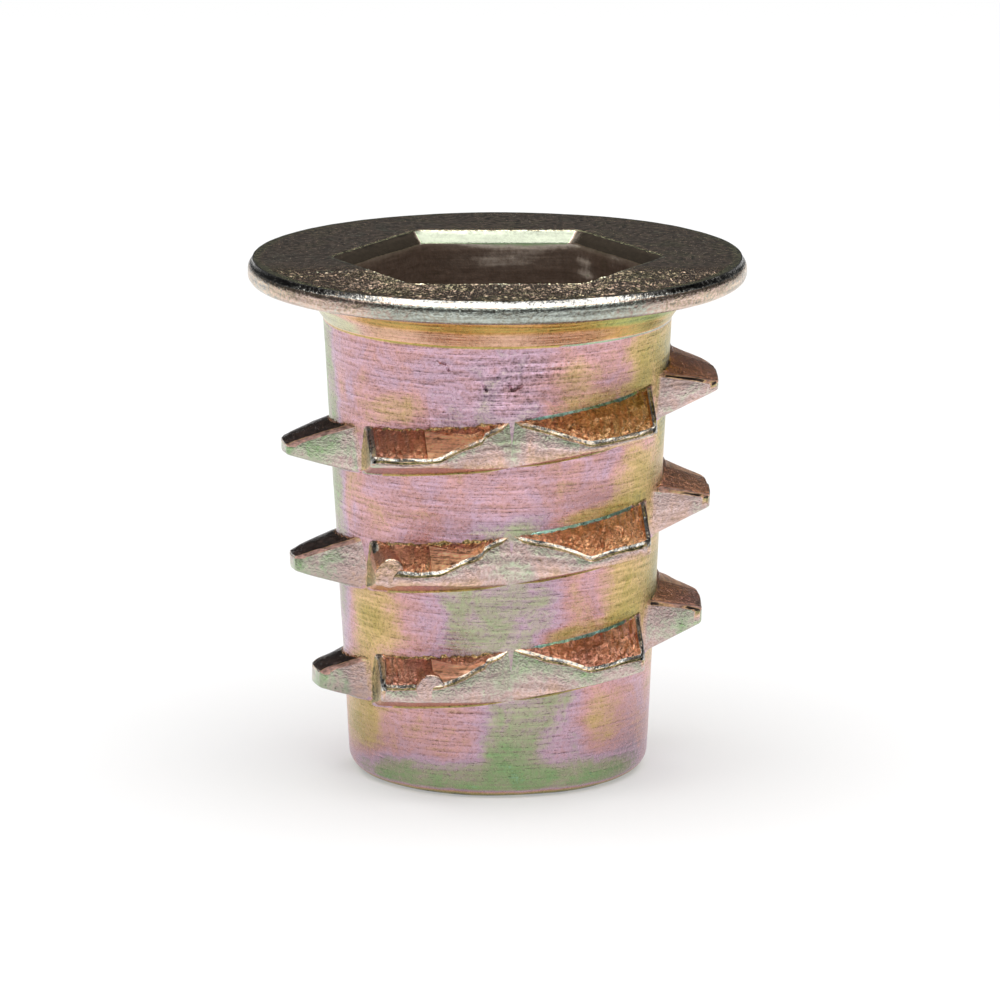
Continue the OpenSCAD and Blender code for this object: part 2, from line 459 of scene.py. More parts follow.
def rib_finish(k, corners):
    """Index of the finish of a face of rib k, from the row, station and side of each of its corners."""
    rows = [row for row, _, _ in corners]
    x, to_end = (sum(station[i] for _, station, _ in corners) / 4 for i in (0, 2))
    first = k % SLIDES == 0
    if len(set(rows)) != 2 or len({station for _, station, _ in corners}) != 2:
        return TIP
    if max(rows) <= (FILLET_ROW if x > 0 and first else FILLET_ROW - 1):
        return WALL
    if not all(upper for _, _, upper in corners):
        return FLANK if max(rows) < WORN_ROWS[1] and first else TIP
    if to_end < END_WEAR:
        return WORN if first else FACET
    if min(rows) >= WORN_ROWS[0]:
        return WORN if max(rows) <= WORN_ROWS[1] else TIP
    angle = degrees(asin(x / rib_facts(k)[1]))
    return FACET if FACET_ANGLES[0] < angle < FACET_ANGLES[1] and min(rows) >= STEP_ROW else FLANK


def thread_rib(k):
    """One rib: its section is drawn along the helix, and each station lies along the slide's draw."""
    _, wall_r, crest_r, _ = rib_facts(k)
    low = lobe_plan(wall_r, crest_r, LOW_END_ANGLE)
    high = lobe_plan(wall_r, crest_r, HIGH_END_ANGLE)
    stations = [(-x, out, d) for x, out, d in low[:0:-1]] + high
    # A flat strip with a vertex a row is spun by a degree a station, which numbers its vertices
    last, inmost, degree = len(UPPER_ROWS) - 1, 10, radians(1)
    bm = bmesh.new()
    film = bm.verts.layers.float.new("film")
    bmesh.ops.create_grid(bm, x_segments=last, y_segments=1, size=1)
    for v in bm.verts:
        v.co = (inmost + round((v.co.x + 1) / 2 * last), 0, v.co.y)
    bmesh.ops.spin(bm, geom=bm.verts[:] + bm.edges[:] + bm.faces[:], cent=(0, 0, 0), axis=(0, 0, 1),
                   angle=degree * (len(stations) - 1), steps=len(stations) - 1)
    marks = {v: (round(hypot(v.co.x, v.co.y)) - inmost, stations[round(atan2(v.co.y, v.co.x) / degree)],
                 v.co.z > 0) for v in bm.verts}
    for face in bm.faces:
        face.material_index = rib_finish(k, [marks[v] for v in face.verts])
    for v, mark in marks.items():
        v[film] = rib_film(k, *mark)
        v.co = rib_point(k, *mark)
    bmesh.ops.recalc_face_normals(bm, faces=bm.faces)
    bmesh.ops.rotate(bm, verts=bm.verts, cent=(0, 0, 0),
                     matrix=Matrix.Rotation(radians(SLIDE_PHASE + SLIDE_TURN * k), 3, "Z"))
    return bm


def pin_pad(k, x, drop, d, proud=0):
    """Flat end of a slide's pin, standing in the lower lobe of rib k."""
    z, wall_r, crest_r, _ = rib_facts(k)
    front = sqrt(crest_r ** 2 - x ** 2) + proud
    root = sqrt(wall_r ** 2 - x ** 2) - PAD_ROOT
    place = Matrix.Translation((-x, -(front + root) / 2, z - drop)) @ Matrix.Rotation(pi / 2, 4, "X")
    bm = bmesh.new()
    film = bm.verts.layers.float.new("film")
    bmesh.ops.create_cone(bm, cap_ends=True, segments=40, radius1=d / 2, radius2=d / 2,
                          depth=front - root, matrix=place)
    rim = [e for e in bm.edges if all(v.co.y < -front + NEAR for v in e.verts)]
    bmesh.ops.bevel(bm, geom=rim, offset=PAD_EDGE, segments=4, profile=0.5, affect="EDGES", material=-1)
    bm.normal_update()
    for v in bm.verts:
        v[film] = PAD_FILM
    for face in bm.faces:
        # The worn edge is bare silver above, a painted highlight that makes a bright arc, apart from its
        # left side, which takes the flank's finish; the flat end and the rest are film
        if face.normal.y > -0.2:
            face.material_index = FLANK
        elif face.normal.z > 0.2:
            face.material_index = FLANK if face.normal.x < -0.25 else WORN
        else:
            face.material_index = TIP
    bmesh.ops.rotate(bm, verts=bm.verts, cent=(0, 0, 0),
                     matrix=Matrix.Rotation(radians(SLIDE_PHASE), 3, "Z"))
    return bm


# ---- Relief and small damage -----------------------------------------------------------------

# The relief of the casting is modelled where it shows most: the top and the ribs' upper flanks, up
# to these values of Y. It fades out over the last stretch.
TOP_RELIEF_Y = -1.2
RIB_RELIEF_Y = 0.4
RELIEF_FADE = 1.1
# Nicks in the body, from one end to the other: turn and height of each end
NICKS = ((3.8, 10.58, 4.95, 10.43), (4.95, 10.43, 8.0, 10.55), (-4.6, 10.58, -3.5, 10.43),
         (-19.1, 11.12, -17.1, 11.08), (-16.5, 10.95, -15.0, 10.86))
NICK_HALF_W = 0.024
NICK_DEPTH = 0.028
# How far round a nick the wall is cut finer, and into how many cuts
NICK_REACH = 0.22
NICK_CUTS = 9


def cut_finer(bm, faces, cuts):
    """Cut the edges inside the outline of faces finer, and give the vertices that are then on them.
    A cut edge keeps the end that it doesn't start at, so about half of the places where such edges meet
    the outline are given too."""
    edges = [e for e in bm.edges if any(f in faces for f in e.link_faces)]
    outline = {v for e in edges for v in e.verts if any(f not in faces for f in v.link_faces)}
    inner = [e for e in edges if not (e.verts[0] in outline and e.verts[1] in outline)]
    made = bmesh.ops.subdivide_edges(bm, edges=inner, cuts=cuts, use_grid_fill=True)
    bm.normal_update()
    inside = {part for part in made["geom_inner"] if isinstance(part, bmesh.types.BMVert)}
    return inside | {v for e in inner for v in e.verts}


def roughen(bm, faces, cuts, grain, depth, calm_y):
    """Give faces the relief of a rough casting, grain wide and depth deep. It fades out at calm_y."""
    moved = cut_finer(bm, faces, cuts)
    for v, wave in [(v, noise.noise(v.co / grain) + 0.5 * noise.noise(v.co / grain * 2.1)) for v in moved]:
        v.co += v.normal * (wave - 0.4) * depth * smooth(calm_y, calm_y - RELIEF_FADE, v.co.y)


def from_nick(place, nick):
    """Distance of a place on the body from a nick."""
    start, low, end, high = nick
    r = hypot(place.x, place.y)
    here = Vector((r * atan2(place.x, -place.y), place.z))
    ends = Vector((r * radians(start), low)), Vector((r * radians(end), high))
    along = ends[1] - ends[0]
    share = min(1, max(0, (here - ends[0]).dot(along) / along.length_squared))
    return (here - ends[0] - along * share).length


def cut_nicks(bm):
    """Press the nicks into the body, with a little metal raised along their sides."""
    near = {f for f in bm.faces if BODY_END_R < f.calc_center_median().xy.length < BODY_TOP_R + 0.1
            and min(from_nick(f.calc_center_median(), n) for n in NICKS) < NICK_REACH}
    for v in cut_finer(bm, near, NICK_CUTS):
        share = min(from_nick(v.co, n) for n in NICKS) / NICK_HALF_W
        raised = 0.5 * exp(-((share - 1.4) / 0.4) ** 2)
        v.co.xy *= 1 + NICK_DEPTH * (min(0, share ** 2 - 1) + raised) / BODY_TOP_R


# ---- Finishes --------------------------------------------------------------------------------

# Width of the patches in which the film changes its colour
PATCH_MM = 1.1
# How much darker and lighter a dragged place is in its lines and grain, how much darker the painted shade
# makes a place at a drag of -1, and the least brightness that is left
DRAG_DEPTH = 1.6
PAINTED_SHADE_DIM = 0.30
DARKEST = 0.12


def srgb(text):
    """Linear colour of an sRGB hex value."""
    parts = [int(text[i:i + 2], 16) / 255 for i in (1, 3, 5)]
    return [c / 12.92 if c <= 0.04045 else ((c + 0.055) / 1.055) ** 2.4 for c in parts] + [1]


def add(tree, kind, sockets=None, **settings):
    """Add a node with its settings. A socket takes a constant or another node's output."""
    made = tree.nodes.new(kind)
    for name, value in settings.items():
        setattr(made, name, value)
    for name, value in (sockets or {}).items():
        if isinstance(value, bpy.types.NodeSocket):
            tree.links.new(value, made.inputs[name])
        else:
            made.inputs[name].default_value = value
    return made


def empty_material(name):
    """A material without nodes, and its node tree."""
    material = bpy.data.materials.new(name)
    material.use_nodes = True
    material.node_tree.nodes.clear()
    return material, material.node_tree


def chromate(name, film, roughness, grain_mm, grain_h, lines_h=0.0, lines_mm=0.11, run_mm=1.6,
             blotch=0.45, scatter=0.15, tone=0.7, metallic=0.88):
    """Yellow chromate over die-cast zinc. film is a row of (place, colour) from thin to thick film.

    grain_mm and grain_h are the width and height of the cast grain, lines_mm and lines_h those of the
    fine lines across the draw, and run_mm the lines' length. blotch and scatter shift the film by
    patch and by grain, and tone is how much the lines and the grain lighten and darken it.

    The real grain and lines are a few hundredths of a millimetre wide, too fine to show, so both are
    drawn two to four times as coarse.
    """
    material, tree = empty_material(name)
    place = add(tree, "ShaderNodeTexCoord").outputs["Object"]
    mm = add(tree, "ShaderNodeMapping", {
        "Vector": place, "Scale": (1 / MM, 1 / MM, 1 / MM)}).outputs["Vector"]
    along = add(tree, "ShaderNodeMapping", {
        "Vector": mm, "Scale": (1 / run_mm, 1 / run_mm, 1 / lines_mm)}).outputs["Vector"]
    patches = add(tree, "ShaderNodeTexNoise", {
        "Vector": mm, "Scale": 1 / PATCH_MM, "Detail": 4, "Roughness": 0.65,
        "Distortion": 0.8}).outputs["Fac"]
    lines = add(tree, "ShaderNodeTexNoise", {
        "Vector": along, "Scale": 1, "Detail": 3, "Roughness": 0.6}).outputs["Fac"]
    grain = add(tree, "ShaderNodeTexNoise", {
        "Vector": mm, "Scale": 1 / grain_mm, "Detail": 3, "Roughness": 0.7}).outputs["Fac"]

    # Colour of the film, shifted by patch, line and grain
    thick = add(tree, "ShaderNodeAttribute", attribute_name="film").outputs["Fac"]
    for wave, amount in ((patches, blotch), (lines, 0.2), (grain, scatter)):
        shift = add(tree, "ShaderNodeMath", {0: wave, 1: amount, 2: -amount / 2}, operation="MULTIPLY_ADD")
        thick = add(tree, "ShaderNodeMath", {0: thick, 1: shift.outputs[0]}, operation="ADD").outputs[0]
    ramp = add(tree, "ShaderNodeValToRGB", {"Fac": thick})
    stops = ramp.color_ramp.elements
    for at, _ in film[2:]:
        stops.new(at)
    for stop, (at, colour) in zip(stops, film):
        stop.position = at
        stop.color = srgb(colour)

    # Lines and grain lighten and darken it, more where the slide dragged, and painted shade darkens it where
    # the drag is below 0
    drag = add(tree, "ShaderNodeAttribute", attribute_name="drag").outputs["Fac"]
    depth = add(tree, "ShaderNodeMath", {
        0: drag, 1: DRAG_DEPTH, 2: tone}, operation="MULTIPLY_ADD").outputs[0]
    wave = add(tree, "ShaderNodeMath", {0: lines, 1: grain}, operation="ADD").outputs[0]
    wave = add(tree, "ShaderNodeMath", {0: wave, 1: 1.0}, operation="SUBTRACT").outputs[0]
    painted_shade = add(tree, "ShaderNodeMath", {0: drag, 1: 0.0}, operation="MINIMUM").outputs[0]
    bright = add(tree, "ShaderNodeMath", {
        0: painted_shade, 1: PAINTED_SHADE_DIM, 2: 1.0}, operation="MULTIPLY_ADD").outputs[0]
    level = add(tree, "ShaderNodeMath", {0: wave, 1: depth, 2: bright}, operation="MULTIPLY_ADD").outputs[0]
    level = add(tree, "ShaderNodeMath", {0: level, 1: DARKEST}, operation="MAXIMUM").outputs[0]
    colour = add(tree, "ShaderNodeVectorMath", {
        0: ramp.outputs["Color"], "Scale": level}, operation="SCALE").outputs["Vector"]

    rough = add(tree, "ShaderNodeMath", {
        0: grain, 1: 0.14, 2: roughness - 0.07}, operation="MULTIPLY_ADD").outputs[0]
    bumps = add(tree, "ShaderNodeBump", {"Height": grain, "Strength": 1, "Distance": grain_h * MM})
    if lines_h:
        bumps = add(tree, "ShaderNodeBump", {
            "Height": lines, "Strength": 1, "Distance": lines_h * MM, "Normal": bumps.outputs["Normal"]})
    shader = add(tree, "ShaderNodeBsdfPrincipled", {
        "Base Color": colour, "Metallic": metallic, "Roughness": rough, "Normal": bumps.outputs["Normal"]})
    tree.links.new(shader.outputs["BSDF"], add(tree, "ShaderNodeOutputMaterial").inputs["Surface"])
    return material


# Rows of colours from thin to thick film. The film splits light as a soap bubble does, from olive
# through yellow, orange, pink and violet to green.
# The wall's darkest, olive end gives the painted shade above the first slide's upper lobes and at the foot's
# lowest edge.
WALL_FILM = ((0.0, "#544c3c"), (0.05, "#a8a468"), (0.20, "#c4ae66"), (0.33, "#dfbc88"), (0.47, "#dfacaa"),
             (0.60, "#d4b2c6"), (0.72, "#b8b59a"), (0.84, "#98b680"), (0.98, "#a0ccc0"))
# The tips' darkest end gives the painted dark line below the crests.
TIP_FILM = ((0.0, "#302c22"), (0.08, "#a8a070"), (0.22, "#d0ba84"), (0.36, "#e2be9c"), (0.48, "#e4c2b4"),
            (0.60, "#dac0bc"), (0.74, "#c6c8b2"), (0.90, "#98b684"))
FLANK_FILM = ((0.0, "#54443e"), (0.2, "#e0c488"), (0.38, "#e8b486"), (0.52, "#daa07c"), (0.7, "#c89484"),
              (0.9, "#988a78"))
SCRAPED_FILM = ((0.0, "#3a2c28"), (0.14, "#7a6254"), (0.2, "#f8cc98"), (0.5, "#fcc89c"), (0.65, "#eab498"),
                (0.85, "#d8aca0"))
WORN_FILM = ((0.02, "#242424"), (0.14, "#62605c"), (0.22, "#b8b6b0"), (0.34, "#c6c4be"), (0.47, "#d0bca0"),
             (0.60, "#d4b8ac"), (0.75, "#b2b2a4"), (0.92, "#a8aea6"))
NECK_FILM = ((0.02, "#9cac68"), (0.20, "#bcb666"), (0.35, "#d0a05c"), (0.50, "#e8bc98"), (0.65, "#e4b8a8"),
             (0.85, "#cfcba6"))
# The top's last, near-white stop gives the painted highlight of the bright lip along the front of the mouth.
TOP_FILM = ((0.2, "#aaa886"), (0.42, "#aea284"), (0.56, "#ac9482"), (0.8, "#9a9e88"), (1.0, "#fff0c8"))
# The socket's near-white and green stops, and its last one, give the painted highlights on the far walls and
# on the far part of the bevel; its dark first stop gives the bevel's painted shade at the sides.
SOCKET_FILM = ((0.0, "#4a4034"), (0.08, "#827660"), (0.2, "#8a7668"), (0.42, "#9c8a7c"), (0.64, "#fff0e0"),
               (0.82, "#a8d490"), (1.0, "#a8ae9a"))

# The body as it left the slides: satin metal in soft pink, yellow and green patches, crossed by fine
# lines round it.
cast_wall = chromate("yellow_chromate_cast_wall", WALL_FILM, roughness=0.28, grain_mm=0.09, grain_h=0.020,
                     lines_h=0.024, lines_mm=0.075, tone=1.05)
# The ribs' end faces and blunt crests, and all undersides but the first slide's: the same film over
# rougher grain, so paler and more mottled than the body.
cast_tip = chromate("yellow_chromate_rib_tip", TIP_FILM, roughness=0.25, grain_mm=0.08, grain_h=0.030,
                    lines_h=0.008, blotch=0.8, scatter=0.4, tone=1.3)
# The ribs' upper flanks and the first slide's undersides: a film of strong orange brown over close,
# short grain, with small glints.
cast_flank = chromate("yellow_chromate_thread_flank", FLANK_FILM, roughness=0.25, grain_mm=0.06,
                      grain_h=0.03, run_mm=0.09, scatter=0.35, tone=2.2, metallic=0.93)
# Where a slide scraped the flank as it drew: paler and duller orange, with straight drag lines.
scraped_flank = chromate("yellow_chromate_scraped_flank", SCRAPED_FILM, roughness=0.36, grain_mm=0.14,
                         grain_h=0.010, lines_h=0.03, lines_mm=0.05, tone=2.6, metallic=0.6)
# Bare zinc on the rubbed crests and rim: bright silver, dark and broken where its film is low. On the
# rim's bevel at the sides that dark is painted shade; on the worn edges of the end faces it is dark
# mottling. On the pin pads' upper edges the bare silver is a painted highlight.
worn_edge = chromate("worn_zinc_edge", WORN_FILM, roughness=0.19, grain_mm=0.09, grain_h=0.020,
                     scatter=0.9, tone=2.2, metallic=1)
# The flared neck: smoother, in even gold bands with fine lines that run round it.
banded_neck = chromate("yellow_chromate_neck", NECK_FILM, roughness=0.28, grain_mm=0.12, grain_h=0.008,
                       lines_h=0.020, lines_mm=0.06, blotch=0.12, tone=1.0)
# The flange's top: a thick olive-brown film over rough metal, dark with many small glints.
grained_top = chromate("yellow_chromate_grained_face", TOP_FILM, roughness=0.22, grain_mm=0.06,
                       grain_h=0.022, run_mm=0.15, blotch=0.8, scatter=0.4, tone=2.0, metallic=1)
# The socket and the bore: a thin brown film that looks dull and dark, with paler patches on the far
# walls that are painted highlights.
socket_wall = chromate("yellow_chromate_socket", SOCKET_FILM, roughness=0.24, grain_mm=0.14, grain_h=0.012,
                       lines_h=0.006, blotch=0.4, metallic=0.5)
FINISHES = [cast_wall, cast_tip, cast_flank, scraped_flank, worn_edge, banded_neck, grained_top, socket_wall]


# ---- Where the film is thin and thick, and where the slides dragged ---------------------------

# A spot has its turn and half width in degrees, its height and half height in millimetres, and then
# its film or its drag. Away from the spots the film is plain.
PLAIN_FILM = 0.52
PLAIN_SOCKET_FILM = 0.22
SPOT_PULL = 4
BODY_SPOTS = (
    # Between the neck and the highest rib
    (-84, 14, 10.2, 1.8, 0.80), (-60, 6, 9.8, 1.2, 0.42), (-59, 2, 10.1, 0.4, 0.80),
    (-47, 16, 10.6, 1.0, 0.50), (-38, 12, 9.9, 0.35, 0.30), (-6, 18, 10.8, 1.0, 0.62),
    (10, 12, 9.9, 0.5, 0.60), (27, 8, 10.6, 0.5, 0.25), (42, 10, 10.0, 0.5, 0.48),
    (64, 10, 10.9, 0.8, 0.10), (80, 8, 9.8, 1.5, -0.1),
    # Between the ribs
    (-84, 14, 7.4, 1.3, 0.80), (-60, 6, 7.6, 0.9, 0.40), (-60, 2, 6.9, 0.3, 0.80),
    (-43, 14, 7.4, 1.0, 0.47), (-24, 12, 7.9, 0.6, 0.50), (5, 22, 7.6, 0.5, 0.50),
    (9, 12, 6.9, 0.35, 0.80), (60, 12, 7.7, 0.7, 0.16),
    (-84, 14, 4.6, 1.2, 0.78), (-53, 12, 4.3, 0.9, 0.18), (-33, 11, 4.6, 0.9, 0.44),
    (-8, 16, 4.7, 0.9, 0.77), (13, 9, 4.9, 0.8, 0.72), (32, 9, 4.8, 0.8, 0.45),
    (56, 13, 5.0, 0.9, 0.20), (78, 11, 4.8, 1.3, 0.04),
    # Below the lowest rib
    (-64, 14, 1.9, 1.0, 0.20), (-28, 20, 1.6, 0.8, 0.50), (-8, 45, 0.5, 0.3, 0.82),
    (4, 10, 1.4, 0.8, 0.84), (18, 8, 2.4, 0.4, 0.82), (27, 6, 1.6, 0.7, 0.66),
    (43, 10, 1.9, 0.5, 0.34), (61, 12, 1.2, 0.6, 0.48),
    # The back
    (-140, 30, 8.0, 1.5, 0.75), (-110, 25, 4.0, 1.2, 0.62), (110, 25, 7.0, 1.2, 0.40),
    (150, 40, 3.0, 1.4, 0.20))
RIB_SPOTS = (
    # Each turn of the thread from its left end, the highest first
    (-74, 10, 8.4, 0.8, 0.82), (-40, 18, 8.6, 0.8, 0.76), (-20, 10, 8.8, 0.8, 0.45),
    (5, 10, 9.0, 0.9, 0.42), (30, 14, 9.4, 0.8, 0.30), (48, 10, 9.8, 0.8, 0.24),
    (85, 22, 10.2, 1.0, 0.66),
    (-74, 10, 5.4, 0.8, 0.84), (-40, 18, 5.8, 0.8, 0.50), (-15, 14, 6.0, 0.8, 0.46),
    (5, 6, 6.2, 0.8, 0.74), (35, 22, 6.6, 0.8, 0.40), (85, 22, 7.3, 1.0, 0.60),
    (-74, 10, 2.6, 0.8, 0.82), (-40, 18, 2.9, 0.8, 0.66), (-10, 18, 3.1, 0.8, 0.60),
    (35, 22, 3.7, 0.8, 0.62), (85, 22, 4.6, 0.5, 0.52), (85, 22, 4.0, 0.3, 0.90))
SOCKET_HIGHLIGHT_SPOTS = (
    # Painted highlights: pale and green patches on the far wall and the right-hand one
    (176, 16, 12.26, 0.12, 0.66), (168, 14, 12.44, 0.05, 0.92), (170, 18, 12.66, 0.06, 0.95),
    (137, 3, 12.80, 0.08, 0.76), (142, 4, 12.36, 0.08, 0.76), (141, 5, 12.04, 0.10, 0.76),
    (112, 5, 12.78, 0.07, 0.72), (118, 4, 12.6, 0.06, 0.9))
DRAG_AND_SHADE_SPOTS = (
    # Where the slide dragged on the casting
    (15, 20, 11.0, 0.3, 1), (2, 14, 10.3, 0.7, 1), (20, 12, 9.6, 0.4, 1), (-20, 12, 9.6, 0.3, 1),
    (-10, 20, 6.4, 0.4, 1),
    # Below 0: painted shade, darker and duller, at the foot, where the body reflects the floor's shadow, and
    # in small patches near the ribs' roots and towards the sides
    (48, 12, 10.35, 0.3, -0.9), (-74, 8, 8.0, 0.25, -0.6), (73, 8, 8.0, 0.25, -0.8),
    (40, 12, 7.55, 0.25, -0.9), (-62, 12, 5.15, 0.25, -0.7), (-76, 8, 4.7, 0.8, -0.5),
    (76, 9, 4.8, 1.0, -0.8), (-62, 12, 2.3, 0.25, -0.9), (-60, 24, 0.9, 1.0, -0.9),
    (64, 24, 1.0, 1.3, -1.0), (0, 60, 0.7, 0.9, -0.4))
# The relief of the flange's top is modelled only at the front. Past it the pattern is made stronger:
# its drag there, and the values of Y between which it grows.
TOP_DRAG = 1.2
TOP_DRAG_Y = (-1.9, -0.5)

# Depth and width of the worn bevel on the rim, and the width of the whole rim
RIM_WEAR_DOWN = 0.115
RIM_WEAR_IN = 0.23
RIM_IN = 0.3
# Bevel of the socket's mouth, with the turn beyond which each part lies and its film: the far part is
# painted light, a painted highlight, and the sides are painted dark, a painted shade
FAR_BEVEL_HIGHLIGHT = (150, 1.3)
SIDE_BEVEL_SHADE = (60, -0.2)
# Film of the bright lip along the front of the mouth, a painted highlight, and of the neck's lower edge,
# left and right, a thin line of painted highlight, yellow to the left and pale blue-green to the right
LIP_HIGHLIGHT_FILM = 1.0
NECK_EDGE_FILM = (0.14, 0.97)
NECK_EDGE_TURN = 20
# Painted shade on the body above the first slide's upper lobes, a darker olive band where the wall
# reflects the lobe's flank: how far up and how wide, and its pull
PAINTED_SHADE_UP = 0.13
PAINTED_SHADE_HALF_H = 0.16
PAINTED_SHADE_PULL = 2.2
PAINTED_SHADE_FILM = 0.02
# The foot: green up to this height
FOOT_Z = 1.2
FOOT_FILM = 0.79


def spot_share(turn, z, spot):
    """How near a place is to the middle of a spot, from 1 down to 0."""
    at, half_turn, height, half_h, _ = spot
    apart = (turn - at + 180) % 360 - 180
    return exp(-(apart / half_turn) ** 2 - ((z - height) / half_h) ** 2)


def spotted(base, pulls):
    """Film between the base and the films that pull at it, as (pull, film)."""
    total, weight = base, 1.0
    for pull, film in pulls:
        total += pull * film
        weight += pull
    return total / weight


def rim_film(turn, z):
    """The rim: a silver worn bevel with painted shade at the sides, and below it green to pink."""
    side = abs(turn)
    if z > LENGTH - RIM_WEAR_DOWN:
        return 0.32 - 0.22 * smooth(36, 50, side) * (1 - smooth(110, 130, side))
    return 0.88 - 0.30 * smooth(12, 45, abs(turn - 4)) - 0.12 * smooth(45, 70, side)


def neck_film(turn, r):
    """The neck: pink gold, then deep gold outside a thin line, paler to the left and greener to the
    right."""
    share = (r - BODY_TOP_R) / (NECK_TOP_R - BODY_TOP_R)
    line = exp(-((share - 0.5) / 0.06) ** 2)
    gold = 0.55 - 0.22 * smooth(0.42, 0.58, share) - 0.15 * line + 0.2 * smooth(0.8, 1, share)
    return gold + 0.5 * smooth(40, 65, -turn) - 0.3 * smooth(18, 55, turn)


def painted_lobe_shade(k, turn, z):
    """Pull of the painted shade above rib k's upper lobe: an olive band where the wall reflects its flank.
    """
    rib_z, wall_r, crest_r, _ = rib_facts(k)
    root_z = rib_z + PITCH * (turn - SLIDE_PHASE) / 360 + (crest_r - wall_r) * tan(radians(UPPER_FLANK))
    reach = smooth(6, 30, turn) * (1 - smooth(60, 66, turn))
    return PAINTED_SHADE_PULL * exp(-((z - root_z - PAINTED_SHADE_UP) / PAINTED_SHADE_HALF_H) ** 2) * reach


def film_at(place):
    """The film of a vertex that has none of its own, from where it lies."""
    r, z, turn = hypot(place.x, place.y), place.z, turn_of(place)
    if z > UNDER_Z and r > FLANGE_R - RIM_IN:
        return rim_film(turn, z)
    past_mouth = r / hex_stretch(atan2(place.y, place.x)) - HEX_AF / 2 - HEX_CHAMFER
    if z > LENGTH - 0.1 and 0.04 < past_mouth < 0.11 and place.y < 0:
        return LIP_HIGHLIGHT_FILM
    in_socket = past_mouth < 0.04 and r < (4.25 if z > 11 else 3.85) and z > FLOOR_Z - NEAR
    if in_socket or r < TAP_MAJOR_R + 2 * NEAR:
        for beyond, film in (FAR_BEVEL_HIGHLIGHT, SIDE_BEVEL_SHADE):
            if z > BEVEL_Z - NEAR and abs(turn) > beyond:
                return film
        spots, base, painted_shades = SOCKET_HIGHLIGHT_SPOTS, PLAIN_SOCKET_FILM, []
    elif z < 11 and r > body_r(z) + 0.04:
        spots, base, painted_shades = RIB_SPOTS, PLAIN_FILM, []
    else:
        spots, base = BODY_SPOTS, PLAIN_FILM
        painted_shades = [(painted_lobe_shade(k, turn, z), PAINTED_SHADE_FILM) for k in range(0, FULL_RIBS, SLIDES)]
    if abs(z - NECK_Z) < 2 * NEAR:
        return NECK_EDGE_FILM[0 if turn < NECK_EDGE_TURN else 1]
    if BODY_TOP_R - 0.05 < r < FLANGE_R - 0.4 and NECK_Z < z < UNDER_Z + 0.1:
        return neck_film(turn, r)
    film = spotted(base, painted_shades + [(SPOT_PULL * spot_share(turn, z, spot), spot[-1]) for spot in spots])
    # The foot turns green towards the bottom, and its lowest edge fades to the wall's dark olive end: a
    # painted shade where the nose reflects the floor's shadow.
    if z < FOOT_Z and r > BORE_R + BORE_CHAMFER:
        green = 0.8 * (1 - smooth(0.45, 1.15, z)) * (1 - smooth(45, 78, abs(turn)))
        film = (film * (1 - green) + FOOT_FILM * green) * smooth(0.02, 0.26, z)
    return film


def drag_and_shade_at(place):
    """How hard the slide dragged on the casting at a place, and below 0 how much painted shade darkens it.
    """
    if place.z > LENGTH - 0.05:
        return TOP_DRAG * smooth(*TOP_DRAG_Y, place.y)
    return sum(spot[-1] * spot_share(turn_of(place), place.z, spot) for spot in DRAG_AND_SHADE_SPOTS)


def shell_finish(face):
    """Index of the finish of a face of the shell, from where it lies."""
    centre = face.calc_center_median()
    r = hypot(centre.x, centre.y)
    if centre.z > UNDER_Z and r > FLANGE_R - RIM_WEAR_IN:
        return WORN
    if centre.z > LENGTH - 0.03 and r > HEX_AF / 2:
        return TOP
    inwards = face.normal.xy.dot(centre.xy) < 0
    if r < 4.0 and (inwards or centre.z > 1 and (r < 3.4 or face.normal.z > 0.5)):
        return SOCKET
    if NECK_Z < centre.z < UNDER_Z + NEAR and r < FLANGE_R - 0.4:
        return NECK
    return WALL


# ---- The casting, in one piece ---------------------------------------------------------------

# The cast surface isn't quite true: it wanders by about a hundredth of a millimetre. Each wave has
# its cycles a millimetre and its height.
SURFACE_WAVES = ((0.55, 0.012), (2.3, 0.005))
# Edges sharper than this stay crisp in the shading
CRISP_ANGLE = 38

shell = gather([spun_shell(), tapped_bore()])
bmesh.ops.remove_doubles(shell, verts=shell.verts, dist=1e-4)
bmesh.ops.recalc_face_normals(shell, faces=shell.faces)
for face in shell.faces:
    face.material_index = shell_finish(face)
shell = in_order(shell, falling=False)
near_top = {f for f in shell.faces if f.material_index == TOP and f.calc_center_median().y < TOP_RELIEF_Y}
roughen(shell, near_top, cuts=4, grain=0.052, depth=0.036, calm_y=TOP_RELIEF_Y)
cut_nicks(shell)

pads = [pin_pad(0, x=2.04, drop=0.26, d=0.72), pin_pad(3, x=3.00, drop=0.29, d=0.74, proud=0.03)]
ribs = gather([thread_rib(k) for k in range(-1, FULL_RIBS)] + pads)
bmesh.ops.recalc_face_normals(ribs, faces=ribs.faces)
ribs = in_order(ribs, falling=True)
near_flanks = {f for f in ribs.faces if f.material_index == FLANK and f.normal.z > 0.5
               and f.calc_center_median().y < RIB_RELIEF_Y}
roughen(ribs, near_flanks, cuts=1, grain=0.09, depth=0.065, calm_y=RIB_RELIEF_Y)

casting = gather([shell, ribs])
casting.normal_update()
waves = [sum(noise.noise(v.co * per_mm) * height for per_mm, height in SURFACE_WAVES) for v in casting.verts]
for v, wave in zip(casting.verts, waves):
    v.co += v.normal * wave
    # The flange and both ends keep their measured size
    v.co.xy *= min(1, FLANGE_R / hypot(v.co.x, v.co.y))
    v.co.z = min(LENGTH, max(0, v.co.z))
bmesh.ops.scale(casting, vec=(MM, MM, MM), verts=casting.verts)

